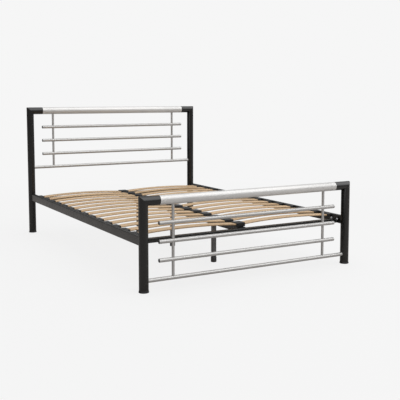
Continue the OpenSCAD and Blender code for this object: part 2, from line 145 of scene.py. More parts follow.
def round_rect(width, height, corner, steps=5, centre=(0, 0)):
    """Points of a rectangle with round corners."""
    corner = max(corner, 0.05 * MM)
    points = []
    for i, (sx, sy) in enumerate(((1, 1), (-1, 1), (-1, -1), (1, -1))):
        cx = centre[0] + sx * (width / 2 - corner)
        cy = centre[1] + sy * (height / 2 - corner)
        for k in range(steps + 1):
            a = math.radians(90 * (i + k / steps))
            points.append((cx + corner * math.cos(a), cy + corner * math.sin(a)))
    return points


def hexagon(width, a):
    """Distance from a hexagon's middle to its edge at angle a, for a width across flats."""
    return width / 2 / math.cos((a + math.pi / 6) % (math.pi / 3) - math.pi / 6)


def soften(path, radius, steps=4):
    """An open path with its inner corners rounded."""
    out = [path[0]]
    for before, here, after in zip(path, path[1:], path[2:]):
        p = Vector(here)
        a, b = Vector(before) - p, Vector(after) - p
        r = min(radius, a.length * 0.45, b.length * 0.45)
        start, end = p + a.normalized() * r, p + b.normalized() * r
        for k in range(steps + 1):
            t = k / steps
            q = start * (1 - t) ** 2 + p * 2 * t * (1 - t) + end * t ** 2
            out.append((q.x, q.y))
    out.append(path[-1])
    return out


# ---- Mesh building -------------------------------------------------------

def join_rings(bm, rings, loop=False):
    """Faces between neighbouring rings of points. A loop closes on itself; otherwise the ends are capped."""
    rows = [[bm.verts.new(p) for p in ring] for ring in rings]
    pairs = list(zip(rows, rows[1:] + rows[:1]))
    for a, b in pairs if loop else pairs[:-1]:
        for j in range(len(a)):
            k = (j + 1) % len(a)
            bm.faces.new((a[j], a[k], b[k], b[j]))
    if not loop:
        bm.faces.new(rows[0])
        bm.faces.new(rows[-1])
    return rows


def lathe(bm, origin, axis, profile, count, loop=False):
    """A turned shape. The profile is a list of (distance along the axis, radius)."""
    return join_rings(bm, [placed(origin, axis, t, circle(r, count)) for t, r in profile], loop)


def shifted(t, by):
    """t moved along the axis, whether it is a number or a function of u and v."""
    return (lambda u, v: t(u, v) + by) if callable(t) else t + by


def hollow(bm, origin, axis, start, end, section, wall):
    """A tube between two ends, with softened rims. section(inset) is the outline drawn in by inset."""
    steps = (
        (shifted(start, EDGE), 0), (shifted(end, -EDGE), 0), (end, EDGE),
        (end, wall), (start, wall), (start, EDGE),
    )
    join_rings(bm, [placed(origin, axis, t, section(inset)) for t, inset in steps], loop=True)


def plate(bm, origin, axis, thickness, section, edge=EDGE):
    """A flat plate with softened edges. section(inset) gives its outline."""
    steps = ((0, edge), (edge, 0), (thickness - edge, 0), (thickness, edge))
    join_rings(bm, [placed(origin, axis, t, section(inset)) for t, inset in steps])


def bead(bm, origin, axis, t, outline, size):
    """A weld bead along a closed outline around an axis, with the ripples of a row of weld pools."""
    along = ACROSS[axis][0]
    path = placed(origin, axis, t, outline)
    centre = sum(path, Vector()) / len(path)
    rings = []
    for i, point in enumerate(path):
        tangent = (path[(i + 1) % len(path)] - path[i - 1]).normalized()
        out = tangent.cross(along).normalized()
        if out.dot(point - centre) < 0:
            out.negate()
        up = tangent.cross(out).normalized()
        ripple = 0.16 * math.sin(i * 2.1)
        drift = 0.06 * math.sin(i * 0.9)
        r = size * (1 + ripple + drift)
        rings.append([
            point + (out * math.cos(a) + up * math.sin(a)) * r
            for a in (2 * math.pi * k / BEAD_POINTS for k in range(BEAD_POINTS))
        ])
    join_rings(bm, rings, loop=True)


def piece(name, bm, material, replaces=(), body=BODY):
    """Turns the mesh into an object that rides on a body and stands for CAD nodes."""
    bmesh.ops.recalc_face_normals(bm, faces=bm.faces)
    for face in bm.faces:
        face.smooth = True
    for edge in bm.edges:
        edge.smooth = len(edge.link_faces) == 2 and edge.calc_face_angle(0) < SHARP_ANGLE
    mesh = bpy.data.meshes.new(name)
    bm.to_mesh(mesh)
    bm.free()
    obj = bpy.data.objects.new(name, mesh)
    bpy.context.scene.collection.objects.link(obj)
    obj.data.materials.append(material)
    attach(obj, body)
    if replaces:
        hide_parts(*replaces)
    return obj


def middle(low, high):
    """The middle of a box."""
    return (low + high) / 2


def floor_point(low, high):
    """The point on the floor under a box's middle."""
    centre = middle(low, high)
    return Vector((centre.x, centre.y, 0))


# ---- Materials -----------------------------------------------------------

def new_material(name, color, metallic, roughness, **constants):
    """A Principled material, its node tree, its shader and its coordinates."""
    mat = bpy.data.materials.new(name)
    mat.use_nodes = True
    mat.diffuse_color = (*color, 1)
    tree = mat.node_tree
    shader = tree.nodes["Principled BSDF"]
    shader.inputs["Base Color"].default_value = (*color, 1)
    shader.inputs["Metallic"].default_value = metallic
    shader.inputs["Roughness"].default_value = roughness
    for socket, number in constants.items():
        shader.inputs[socket.replace("_", " ")].default_value = number
    coords = tree.nodes.new("ShaderNodeTexCoord").outputs["Object"]
    return mat, tree, shader, coords


def stretched(tree, coords, scale, offset=None):
    """Coordinates scaled on each axis, and moved by another socket."""
    node = tree.nodes.new("ShaderNodeMapping")
    node.inputs["Scale"].default_value = scale
    tree.links.new(coords, node.inputs["Vector"])
    if offset is not None:
        tree.links.new(offset, node.inputs["Location"])
    return node.outputs["Vector"]


def noise(tree, coords, scale, detail=2.0, roughness=0.5, distortion=0.0):
    """A noise texture's value, from 0 to 1."""
    node = tree.nodes.new("ShaderNodeTexNoise")
    node.inputs["Scale"].default_value = scale
    node.inputs["Detail"].default_value = detail
    node.inputs["Roughness"].default_value = roughness
    node.inputs["Distortion"].default_value = distortion
    tree.links.new(coords, node.inputs["Vector"])
    return node.outputs["Fac"]


def remap(tree, source, low, high, to_low, to_high):
    """The source's range from low to high, stretched to another range and clamped to it."""
    node = tree.nodes.new("ShaderNodeMapRange")
    for socket, number in zip(node.inputs[1:5], (low, high, to_low, to_high)):
        socket.default_value = number
    tree.links.new(source, node.inputs[0])
    return node.outputs[0]


def math_node(tree, operation, a, b=0.0):
    """A calculation on sockets or plain numbers. Those on one value leave b alone."""
    node = tree.nodes.new("ShaderNodeMath")
    node.operation = operation
    for socket, source in zip(node.inputs, (a, b)):
        if isinstance(source, (int, float)):
            socket.default_value = source
        else:
            tree.links.new(source, socket)
    return node.outputs[0]


def ramp(tree, source, stops):
    """A colour ramp with stops of (position, colour)."""
    node = tree.nodes.new("ShaderNodeValToRGB")
    elements = node.color_ramp.elements
    while len(elements) < len(stops):
        elements.new(0.5)
    for element, (position, color) in zip(elements, stops):
        element.position = position
        element.color = (*color, 1)
    tree.links.new(source, node.inputs["Fac"])
    return node.outputs["Color"]


def blend_color(tree, mode, factor, a, b):
    """Two colours mixed or multiplied. Each, and the factor, is a socket or a constant."""
    node = tree.nodes.new("ShaderNodeMix")
    node.data_type = "RGBA"
    node.blend_type = mode
    for socket, source in zip((node.inputs[0], node.inputs[6], node.inputs[7]), (factor, a, b)):
        if isinstance(source, (int, float)):
            socket.default_value = source
        elif isinstance(source, tuple):
            socket.default_value = (*source, 1)
        else:
            tree.links.new(source, socket)
    return node.outputs[2]


def bump(tree, shader, heights):
    """Bumps on the shader's normal. heights is a list of (socket, strength, distance)."""
    normal = None
    for height, strength, distance in heights:
        node = tree.nodes.new("ShaderNodeBump")
        node.inputs["Strength"].default_value = strength
        node.inputs["Distance"].default_value = distance
        tree.links.new(height, node.inputs["Height"])
        if normal is not None:
            tree.links.new(normal, node.inputs["Normal"])
        normal = node.outputs["Normal"]
    tree.links.new(normal, shader.inputs["Normal"])


def powder_coat(name, tone, level, rough):
    """Satin powder coat: a faint orange peel, and a slight unevenness of gloss."""
    mat, tree, shader, coords = new_material(name, tone, 0.0, rough, Specular_IOR_Level=level)
    clouds = noise(tree, coords, 7.0, 3.0)
    peel = noise(tree, coords, 620.0, 2.0, 0.45)
    grit = noise(tree, coords, 2600.0, 1.0)
    dark, light = ([c * k for c in tone] for k in (0.8, 1.2))
    tree.links.new(ramp(tree, clouds, ((0.3, dark), (0.7, light))), shader.inputs["Base Color"])
    gloss = math_node(tree, "ADD", remap(tree, clouds, 0.25, 0.75, rough - 0.04, rough + 0.04),
                      remap(tree, grit, 0.2, 0.8, -0.02, 0.03))
    tree.links.new(gloss, shader.inputs["Roughness"])
    bump(tree, shader, ((peel, 0.10, 0.12 * MM), (grit, 0.05, 0.03 * MM)))
    return mat


def silver_paint(name, tone, metallic):
    """Satin metallic lacquer on steel: fine bright flakes in a soft, even silver."""
    mat, tree, shader, coords = new_material(name, tone, metallic, 0.42)
    clouds = noise(tree, coords, 5.0, 3.0)
    flakes = noise(tree, coords, 3400.0, 1.0)
    peel = noise(tree, coords, 500.0, 2.0, 0.4)
    dark, light = ([c * k for c in tone] for k in (0.97, 1.03))
    base = ramp(tree, clouds, ((0.3, dark), (0.7, light)))
    sparkle = ramp(tree, flakes, ((0.35, (0.93, 0.93, 0.93)), (0.62, (1.0, 1.0, 1.0))))
    tree.links.new(blend_color(tree, "MULTIPLY", 1.0, base, sparkle), shader.inputs["Base Color"])
    gloss = math_node(tree, "ADD", remap(tree, clouds, 0.25, 0.75, 0.40, 0.44),
                      remap(tree, flakes, 0.3, 0.7, -0.015, 0.02))
    tree.links.new(gloss, shader.inputs["Roughness"])
    bump(tree, shader, ((peel, 0.06, 0.08 * MM), (flakes, 0.04, 0.01 * MM)))
    return mat


def zinc_plate():
    """Bright zinc plate on turned and pressed steel."""
    mat, tree, shader, coords = new_material("zinc_plate", (0.62, 0.63, 0.66), 1.0, 0.28)
    patches = noise(tree, coords, 240.0, 3.0, 0.6)
    scratches = noise(tree, stretched(tree, coords, (300, 2600, 2600)), 1.0, 2.0)
    color = ramp(tree, patches, ((0.3, (0.52, 0.53, 0.56)), (0.7, (0.70, 0.71, 0.72))))
    tree.links.new(color, shader.inputs["Base Color"])
    tree.links.new(remap(tree, scratches, 0.3, 0.7, 0.22, 0.36), shader.inputs["Roughness"])
    bump(tree, shader, ((scratches, 0.12, 0.02 * MM),))
    return mat


def moulded_plastic(name, dark, light, rough):
    """Moulded plastic with a fine spark-eroded grain."""
    mat, tree, shader, coords = new_material(name, light, 0.0, rough, Specular_IOR_Level=0.45)
    grain = noise(tree, coords, 1500.0, 3.0, 0.6)
    flow = noise(tree, coords, 26.0, 2.0)
    tree.links.new(ramp(tree, flow, ((0.3, dark), (0.7, light))), shader.inputs["Base Color"])
    tree.links.new(remap(tree, grain, 0.3, 0.7, rough - 0.06, rough + 0.07),
                   shader.inputs["Roughness"])
    bump(tree, shader, ((grain, 0.18, 0.06 * MM),))
    return mat


def slat_offset(tree):
    """An offset of its own for each slat, so that no two slats show the same grain."""
    number = tree.nodes.new("ShaderNodeAttribute")
    number.attribute_name = "slat_number"
    offset = tree.nodes.new("ShaderNodeCombineXYZ")
    for socket, factor in zip(offset.inputs, (3.7, 11.3, 5.1)):
        tree.links.new(math_node(tree, "MULTIPLY", number.outputs["Fac"], factor), socket)
    return offset.outputs[0]


def wood_color(tree, long_grain, fibres, pores, tone):
    """Long figure, fine fibres and dark pores, and a slightly different shade for each slat."""
    figure = ramp(tree, long_grain, (
        (0.25, (0.50, 0.325, 0.175)), (0.45, (0.64, 0.45, 0.265)),
        (0.6, (0.70, 0.51, 0.315)), (0.8, (0.585, 0.40, 0.225))))
    fine = ramp(tree, fibres, ((0.3, (0.84, 0.80, 0.74)), (0.65, (1.0, 1.0, 1.0))))
    dots = ramp(tree, pores, ((0.27, (0.62, 0.54, 0.44)), (0.34, (1.0, 1.0, 1.0))))
    shade = ramp(tree, tone, ((0.3, (0.86, 0.84, 0.80)), (0.7, (1.06, 1.05, 1.04))))
    color = blend_color(tree, "MULTIPLY", 0.8, figure, fine)
    color = blend_color(tree, "MULTIPLY", 0.7, color, dots)
    return blend_color(tree, "MULTIPLY", 1.0, color, shade)


def glue_lines(tree):
    """The glue lines between the plies, and how strongly they show, which is only on the edges."""
    ply = tree.nodes.new("ShaderNodeAttribute")
    ply.attribute_name = "ply"
    depth = ply.outputs["Fac"]
    wave = math_node(tree, "SINE", math_node(tree, "MULTIPLY", depth, math.pi * PLIES))
    lines = ramp(tree, math_node(tree, "ABSOLUTE", wave),
                 ((0.0, (0.40, 0.29, 0.18)), (0.32, (1.0, 1.0, 1.0))))
    inside = math_node(tree, "MULTIPLY", depth, math_node(tree, "SUBTRACT", 1.0, depth))
    return lines, remap(tree, inside, 0.01, 0.05, 0.0, 0.85)


def birch_plywood():
    """Lacquered birch plywood: long grain on the faces, and the glued plies on the edges."""
    mat, tree, shader, coords = new_material(
        "birch_plywood", (0.66, 0.47, 0.28), 0.0, 0.4, Coat_Weight=0.25, Coat_Roughness=0.3)
    offset = slat_offset(tree)
    long_grain = noise(tree, stretched(tree, coords, (1.6, 30, 30), offset), 1.0, 5.0, 0.62, 0.6)
    fibres = noise(tree, stretched(tree, coords, (26, 900, 900), offset), 1.0, 3.0, 0.6)
    pores = noise(tree, stretched(tree, coords, (70, 1700, 1700), offset), 1.0, 1.0)
    tone = noise(tree, stretched(tree, coords, (0.001, 0.001, 0.001), offset), 1.7, 1.0)
    lines, edge = glue_lines(tree)
    wood = wood_color(tree, long_grain, fibres, pores, tone)
    color = blend_color(tree, "MULTIPLY", edge, wood, lines)
    tree.links.new(color, shader.inputs["Base Color"])
    tree.links.new(remap(tree, fibres, 0.3, 0.7, 0.36, 0.5), shader.inputs["Roughness"])
    bump(tree, shader, ((fibres, 0.12, 0.08 * MM), (pores, 0.1, 0.05 * MM)))
    return mat


BLACK = powder_coat("black_powder_coat", (0.0015, 0.0014, 0.0014), 0.6, 0.27)
# The legs' charcoal coat is lighter than the posts' black. Its tone is raised further as painted light, to
# stand in for the light that the shade under the bed takes away.
CHARCOAL_WITH_PAINTED_LIGHT = powder_coat("charcoal_powder_coat_painted_light", (0.13, 0.13, 0.132), 0.5, 0.38)
SILVER = silver_paint("satin_silver", (0.635, 0.629, 0.62), 0.45)
# A darker copy of the rails' silver for the rods, uprights and their welds. The finish is the same as the
# rails', so the darker tone is painted shade.
ROD_SILVER_PAINTED_SHADE = silver_paint("satin_silver_rods_painted_shade", (0.49, 0.485, 0.478), 0.65)
ZINC = zinc_plate()
BLACK_PLASTIC = moulded_plastic("black_moulding", (0.012, 0.012, 0.012), (0.02, 0.02, 0.021), 0.46)
GREY_PLASTIC = moulded_plastic("grey_moulding", (0.05, 0.05, 0.052), (0.07, 0.07, 0.072), 0.42)
BIRCH = birch_plywood()


# ---- End panels ----------------------------------------------------------

def ring_section(radius, count):
    """A round section for hollow()."""
    return lambda inset: circle(radius - inset, count)


def on_rod(level, radius, above):
    """Height of a horizontal rod's surface over an upright's point (u, v), above or below its axis."""
    sign = 1 if above else -1
    return lambda u, v: level + sign * math.sqrt(max(radius ** 2 - v ** 2, 0))


def on_post(distance, radius, sign):
    """How far along X a rod's point (u, v) meets a post, on the side that the sign gives."""
    return lambda u, v: sign * (distance - math.sqrt(radius ** 2 - u ** 2))


def post_and_return(end, side):
    """A corner post and its return, both cut to the 45 degree mitre."""
    inward = -SIDES[side]
    low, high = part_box(f"{end}_post_{side}")
    r = (high.y - low.y) / 2
    rail_z = high.z - r
    axis = floor_point(low, high)
    bm = bmesh.new()
    hollow(bm, axis, "z", low.z, lambda u, v: rail_z - u * inward,
           ring_section(r, POST_POINTS), TUBE_WALL)
    piece(f"{end}_{side}_post_tube", bm, BLACK, [f"{end}_post_{side}"])

    low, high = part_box(f"{end}_return_{side}")
    joint = (high.x if inward > 0 else low.x) - axis.x
    ends = [lambda u, v: -v * inward, joint]
    if inward < 0:
        ends.reverse()
    bm = bmesh.new()
    hollow(bm, Vector((axis.x, axis.y, rail_z)), "x", *ends, ring_section(r, POST_POINTS),
           TUBE_WALL)
    piece(f"{end}_{side}_return_tube", bm, BLACK, [f"{end}_return_{side}"])


def groove(start):
    """A rolled groove in a rail's profile, which starts at this distance and runs on."""
    return [
        (start + GROOVE_WIDTH * k / GROOVE_STEPS,
         -GROOVE_DEPTH * math.sin(math.pi * k / GROOVE_STEPS))
        for k in range(GROOVE_STEPS + 1)
    ]


def top_rail(end):
    """The silver top rail: rolled grooves near each end, and softened rims."""
    low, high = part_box(f"{end}_top_rail")
    r = (high.z - low.z) / 2
    half = (high.x - low.x) / 2
    grooves = []
    for i in range(GROOVE_COUNT):
        grooves += groove(GROOVE_FIRST + i * GROOVE_PITCH - GROOVE_WIDTH / 2)
    one_side = [(-half, -EDGE), (-half + EDGE, 0)] + [(t - half, d) for t, d in grooves]
    outside = one_side + [(-t, d) for t, d in reversed(one_side)]
    inner = r - RAIL_WALL
    profile = [(t, r + d) for t, d in outside] + [(half, inner), (-half, inner)]
    bm = bmesh.new()
    lathe(bm, middle(low, high), "x", profile, POST_POINTS, loop=True)
    piece(f"{end}_rail_tube", bm, SILVER, [f"{end}_top_rail"])


def rod_plugs(bm, centre, half, reach, r):
    """A rod's two plugs: a stem inside the tube, and a low dome that reaches past its end."""
    lip = r - 0.4 * MM
    stem = r - ROD_WALL - 0.3 * MM
    profile = [(half - 12 * MM, stem), (half, stem), (half + 0.05 * MM, lip)]
    profile += [(half + reach * math.cos(a), lip * math.sin(a))
                for a in (math.radians(90 * k / 8) for k in range(7, 0, -1))]
    profile += [(half + reach, 0.3 * MM)]
    for sign in (1, -1):
        lathe(bm, centre, "x", [(sign * t, radius) for t, radius in profile], ROD_POINTS)


def free_rods(end):
    """The three free rods and the domed plugs in their ends."""
    plugs = bmesh.new()
    plug_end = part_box(f"{end}_rod_plugs")[1].x
    for name in ("upper", "middle", "lower"):
        low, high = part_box(f"{end}_rod_{name}")
        r = (high.z - low.z) / 2
        centre = middle(low, high)
        half = high.x - centre.x
        bm = bmesh.new()
        hollow(bm, centre, "x", -half, half, ring_section(r, ROD_POINTS), ROD_WALL)
        piece(f"{end}_{name}_rod_tube", bm, ROD_SILVER_PAINTED_SHADE, [f"{end}_rod_{name}"])
        rod_plugs(plugs, centre, half, plug_end - half, r)
    piece(f"{end}_plugs", plugs, GREY_PLASTIC, [f"{end}_rod_plugs"])


def rod_levels(end):
    """Heights and radii of what the uprights join: the top rail, the free rods and the bottom rod."""
    names = ("top_rail", "rod_upper", "rod_middle", "rod_lower", "bottom_rod")
    boxes = [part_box(f"{end}_{n}") for n in names]
    return [(middle(low, high).z, (high.z - low.z) / 2) for low, high in boxes]


def uprights(end, welds):
    """The short uprights, cut to the round of what they join, and their weld beads."""
    levels = rod_levels(end)
    for side in SIDES:
        low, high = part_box(f"{end}_uprights_{side}")
        r = (high.y - low.y) / 2
        axis = floor_point(low, high)
        bm = bmesh.new()
        for (top, top_r), (bottom, bottom_r) in zip(levels, levels[1:]):
            foot = on_rod(bottom, bottom_r, True)
            head = on_rod(top, top_r, False)
            hollow(bm, axis, "z", foot, head, ring_section(r, ROD_POINTS), ROD_WALL)
            for t in (foot, head):
                bead(welds, axis, "z", t, circle(r, ROD_POINTS), UPRIGHT_BEAD)
        piece(f"{end}_{side}_upright_tubes", bm, ROD_SILVER_PAINTED_SHADE,
              [f"{end}_uprights_{side}"])


def bottom_rod(end, welds):
    """The rod welded between the posts, with both its ends cut to their round."""
    low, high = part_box(f"{end}_bottom_rod")
    centre = middle(low, high)
    r = (high.z - low.z) / 2
    post_low, post_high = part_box(f"{end}_post_right")
    post_x = middle(post_low, post_high).x
    post_r = (post_high.y - post_low.y) / 2
    tips = [on_post(post_x, post_r, sign) for sign in (-1, 1)]
    bm = bmesh.new()
    hollow(bm, centre, "x", *tips, ring_section(r, ROD_POINTS), ROD_WALL)
    for t in tips:
        bead(welds, centre, "x", t, circle(r, ROD_POINTS), ROD_BEAD)
    piece(f"{end}_bottom_tube", bm, ROD_SILVER_PAINTED_SHADE, [f"{end}_bottom_rod"])


def welded_rods(end):
    """The uprights, the bottom rod and the beads on all of them."""
    welds = bmesh.new()
    uprights(end, welds)
    bottom_rod(end, welds)
    piece(f"{end}_rod_welds", welds, ROD_SILVER_PAINTED_SHADE)


def foot_cap(end, side):
    """The flared plastic cap under a post. Its profile runs from the sole's middle up the outside."""
    low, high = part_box(f"{end}_cap_{side}")
    tube_low, tube_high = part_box(f"{end}_post_{side}")
    tube_r = (tube_high.y - tube_low.y) / 2
    bore_r = tube_r - TUBE_WALL
    cap_r = (high.y - low.y) / 2
    play = 0.1 * MM
    outer = soften([(0, 0.3 * MM), (0, cap_r - 0.6 * MM), (1.5 * MM, cap_r), (4 * MM, cap_r),
                    (CAP_RIM, tube_r + 0.9 * MM), (CAP_RIM, tube_r + 0.15 * MM)], 1.2 * MM)
    inner = [(tube_low.z, tube_r + play), (tube_low.z, bore_r - play), (high.z, bore_r - 2 * MM)]
    bm = bmesh.new()
    lathe(bm, floor_point(low, high), "z", outer + inner, POST_POINTS)
    piece(f"{end}_{side}_foot_cap", bm, BLACK_PLASTIC, [f"{end}_cap_{side}"])


# ---- Side rails, cross bars and the corner joint -------------------------

def bar_section(width, height, corner=BAR_CORNER):
    """A rectangular tube's section for hollow()."""
    return lambda inset: round_rect(width - 2 * inset, height - 2 * inset, corner - inset * 0.6)


def plate_section(width, height, corner):
    """A rectangular plate's outline for plate()."""
    return lambda inset: round_rect(width - 2 * inset, height - 2 * inset, corner - inset)


def side_rail(side):
    """A side rail, from post to post."""
    low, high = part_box(f"side_rail_{side}")
    size = high - low
    bm = bmesh.new()
    hollow(bm, middle(low, high), "y", -size.y / 2, size.y / 2, bar_section(size.x, size.z),
           BAR_WALL)
    piece(f"{side}_rail_bar", bm, BLACK, [f"side_rail_{side}"])


def corner_points():
    """The middle of each of the four corners' plates, with the way out in X."""
    low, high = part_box("cross_bar_plates")
    bar_y = middle(*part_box("head_cross_bar")).y
    return [(Vector((sx * high.x, sy * bar_y, middle(low, high).z)), sx)
            for sx in (-1, 1) for sy in (-1, 1)]


def cross_bars_and_plates():
    """The two cross bars and the plates on their ends. Gives back the mesh of their weld beads."""
    low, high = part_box("cross_bar_plates")
    bar_low, bar_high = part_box("head_cross_bar")
    thick = high.x - bar_high.x
    length = 2 * (high.y - middle(bar_low, bar_high).y)
    outline = plate_section(length, high.z - low.z, BAR_PLATE_CORNER)
    plates = bmesh.new()
    for point, sx in corner_points():
        start = point - X * (thick if sx > 0 else 0)
        plate(plates, start, "x", thick, outline)
    piece("bar_end_plates", plates, BLACK, ["cross_bar_plates"])
    welds = bmesh.new()
    for end in ENDS:
        low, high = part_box(f"{end}_cross_bar")
        size = high - low
        section = bar_section(size.y, size.z)
        bm = bmesh.new()
        hollow(bm, middle(low, high), "x", -size.x / 2, size.x / 2, section, BAR_WALL)
        piece(f"{end}_cross_tube", bm, BLACK, [f"{end}_cross_bar"])
        for t in (-size.x / 2, size.x / 2):
            bead(welds, middle(low, high), "x", t, section(0), BAR_BEAD)
    return welds


def button_head(bm, face, axis, sign, head_r, head_h, shank_r, length):
    """A button-head screw with a hexagon socket. It sits on a face, and its head points along sign."""
    flats = 0.68 * shank_r * 2
    rim = 0.3 * MM
    profile = [(-length, shank_r - 0.5 * MM), (-length + 0.6 * MM, shank_r), (0, shank_r),
               (0, head_r - 0.2 * MM), (rim, head_r)]
    profile += [(rim + (head_h - rim) * math.sin(a), head_r * 0.62 + head_r * 0.38 * math.cos(a))
                for a in (math.radians(15 * k) for k in range(1, 7))]
    profile += [(head_h, flats / 2 * 1.25)]
    recess = ((head_h - 0.35 * MM, flats), (head_h - head_h * 0.6, flats))
    rings = [placed(face, axis, sign * t, circle(r, SMALL_POINTS)) for t, r in profile]
    rings += [placed(face, axis, sign * t, circle(lambda a, w=w: hexagon(w, a), SMALL_POINTS))
              for t, w in recess]
    join_rings(bm, rings)


def hex_nut(bm, face, axis, sign, width, height, bore_r):
    """A nut with chamfered corners, standing on a face."""
    chamfer_r = width / 2 * 1.06

    def full(a):
        return hexagon(width, a)

    def cut(a):
        return min(hexagon(width, a), chamfer_r)

    steps = ((0, cut), (height * 0.13, full), (height * 0.87, full), (height, cut),
             (height, bore_r), (0, bore_r))
    rings = [placed(face, axis, sign * t, circle(r, SMALL_POINTS)) for t, r in steps]
    join_rings(bm, rings, loop=True)


def corner_fasteners():
    """The bolts and washers that clamp cross bar, side rail and post."""
    low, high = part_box("corner_bolts")
    washer_low, washer_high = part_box("corner_washers")
    head_r = (high.z - low.z) / 2
    washer_r = (washer_high.z - washer_low.z) / 2
    offset = high.y - head_r - corner_points()[-1][0].y
    face_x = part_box("head_cross_bar")[1].x
    rim = 0.2 * MM
    ring = [(0, WASHER_BORE), (0, washer_r - rim), (rim, washer_r), (WASHER - rim, washer_r),
            (WASHER, washer_r - rim), (WASHER, WASHER_BORE)]
    bolts, washers = bmesh.new(), bmesh.new()
    for point, sx in corner_points():
        for dy in (-offset, offset):
            face = Vector((sx * face_x, point.y + dy, point.z))
            lathe(washers, face, "x", [(-sx * t, r) for t, r in ring], SMALL_POINTS, loop=True)
            button_head(bolts, face - X * sx * WASHER, "x", -sx, head_r, BOLT_HEAD_HEIGHT,
                        BOLT_RADIUS, BOLT_LENGTH)
    piece("corner_bolt_set", bolts, ZINC, ["corner_bolts"])
    piece("corner_washer_set", washers, ZINC, ["corner_washers"])


# ---- Beam, brackets, legs and levelling feet -----------------------------

def centre_beam():
    """The beam along the middle of the bed."""
    low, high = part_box("centre_beam")
    size = high - low
    bm = bmesh.new()
    hollow(bm, middle(low, high), "y", -size.y / 2, size.y / 2, bar_section(size.x, size.z),
           BAR_WALL)
    piece("beam_bar", bm, BLACK, ["centre_beam"])


def beam_brackets():
    """Bent angle brackets between beam and cross bars, each an L-shaped strip with a round bend."""
    low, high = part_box("beam_brackets")
    beam_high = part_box("centre_beam")[1]
    leg = high.x - beam_high.x
    outside = soften([(0, leg), (0, 0), (leg, 0)], 4 * MM, 6)
    inside = soften([(leg, BRACKET), (BRACKET, BRACKET), (BRACKET, leg)], 1.2 * MM, 6)
    rim = 0.3 * MM
    levels = ((low.z, rim), (low.z + rim, 0), (high.z - rim, 0), (high.z, rim))
    bm = bmesh.new()
    for sx in (-1, 1):
        for sy in (-1, 1):
            corner = Vector((sx * beam_high.x, sy * high.y, 0))
            outline = [corner + Vector((sx * a, -sy * b, 0)) for a, b in outside + inside]
            centre = sum(outline, Vector()) / len(outline)
            rings = []
            for z, inset in levels:
                shrink = 1 - inset / leg
                rings.append([centre + (p - centre) * shrink + Z * z for p in outline])
            join_rings(bm, rings)
    piece("beam_angle_brackets", bm, BLACK, ["beam_brackets"])


def beam_fasteners():
    """The brackets' screws and nuts: one screw through the beam at each end, and two in each bar."""
    low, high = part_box("beam_bolts")
    z = middle(*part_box("beam_brackets")).z
    bar_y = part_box("head_cross_bar")[0].y
    head_r = (high.z - low.z) / 2
    beam_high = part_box("centre_beam")[1]
    side_x = beam_high.x + BRACKET
    through_y = beam_high.y - BRACKET_BOLT
    bracket_x = high.x - head_r
    screw = (head_r, SCREW_HEAD_HEIGHT, SCREW_RADIUS)
    nut = (NUT_WIDTH, NUT_HEIGHT, NUT_BORE)
    bolts, nuts = bmesh.new(), bmesh.new()
    for sy in (-1, 1):
        button_head(bolts, Vector((side_x, sy * through_y, z)), "x", 1, *screw,
                    2 * side_x + SCREW_PAST_BRACKET)
        hex_nut(nuts, Vector((-side_x, sy * through_y, z)), "x", -1, *nut)
        for sx in (-1, 1):
            outer = Vector((sx * bracket_x, sy * (bar_y - BRACKET), z))
            button_head(bolts, outer, "y", -sy, *screw, SCREW_LENGTH)
            inner = Vector((sx * bracket_x, sy * (bar_y + BAR_WALL), z))
            hex_nut(nuts, inner, "y", sy, *nut)
    piece("bracket_screw_set", bolts, ZINC, ["beam_bolts"])
    piece("bracket_nut_set", nuts, ZINC, ["beam_nuts"])


def leg_top(plates, screws, axis, top, leg_width):
    """A leg's top plate, and the two screws that hold it to the beam."""
    low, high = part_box("leg_plates")
    length = 2 * (high.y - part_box("head_leg")[1].y + leg_width / 2)
    plate(plates, axis + Z * top, "z", high.z - top,
          plate_section(high.x - low.x, length, LEG_PLATE_CORNER))
    for dy in (-LEG_SCREW, LEG_SCREW):
        button_head(screws, axis + Vector((0, dy, top)), "z", -1, SCREW_HEAD_RADIUS,
                    SCREW_HEAD_HEIGHT, SCREW_RADIUS, SCREW_LENGTH)


def leg_insert(bm, axis, leg_end, width):
    """The threaded insert in a leg: a flange under the tube's end, and a block inside the tube."""
    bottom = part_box("leg_inserts")[0].z
    inner = width - 2 * BAR_WALL - 0.2 * MM
    steps = ((bottom, width - 0.8 * MM), (bottom + 0.4 * MM, width), (leg_end - 0.05 * MM, width),
             (leg_end, inner), (leg_end + INSERT_DEPTH, inner))
    join_rings(bm, [placed(axis, "z", t, round_rect(w, w, 2.4 * MM)) for t, w in steps])


def legs(welds):
    """The centre legs, their top plates and screws, and the inserts in their lower ends."""
    plates, screws, inserts = bmesh.new(), bmesh.new(), bmesh.new()
    for name in LEGS:
        low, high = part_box(f"{name}_leg")
        size = high - low
        axis = Vector((0, middle(low, high).y, 0))
        section = bar_section(size.x, size.y, LEG_CORNER)
        bm = bmesh.new()
        hollow(bm, axis, "z", low.z, high.z, section, BAR_WALL)
        piece(f"{name}_leg_tube", bm, CHARCOAL_WITH_PAINTED_LIGHT, [f"{name}_leg"])
        bead(welds, axis, "z", high.z, section(0), LEG_BEAD)
        leg_top(plates, screws, axis, high.z, size.y)
        leg_insert(inserts, axis, low.z, size.x)
    piece("leg_top_plates", plates, BLACK, ["leg_plates"])
    piece("leg_screw_set", screws, ZINC, ["leg_screws"])
    piece("leg_end_inserts", inserts, BLACK_PLASTIC, ["leg_inserts"])


def fluted(radius, depth, angle):
    """A grip's radius at an angle: shallow scallops between round ridges."""
    return radius - depth * (0.5 - 0.5 * math.cos(FLUTES * angle)) ** 2


def threaded(radius, t, angle):
    """A thread's radius at an angle and a distance along it."""
    turn = (t / THREAD_PITCH - angle / (2 * math.pi)) % 1
    return radius - THREAD_DEPTH * abs(turn * 2 - 1)


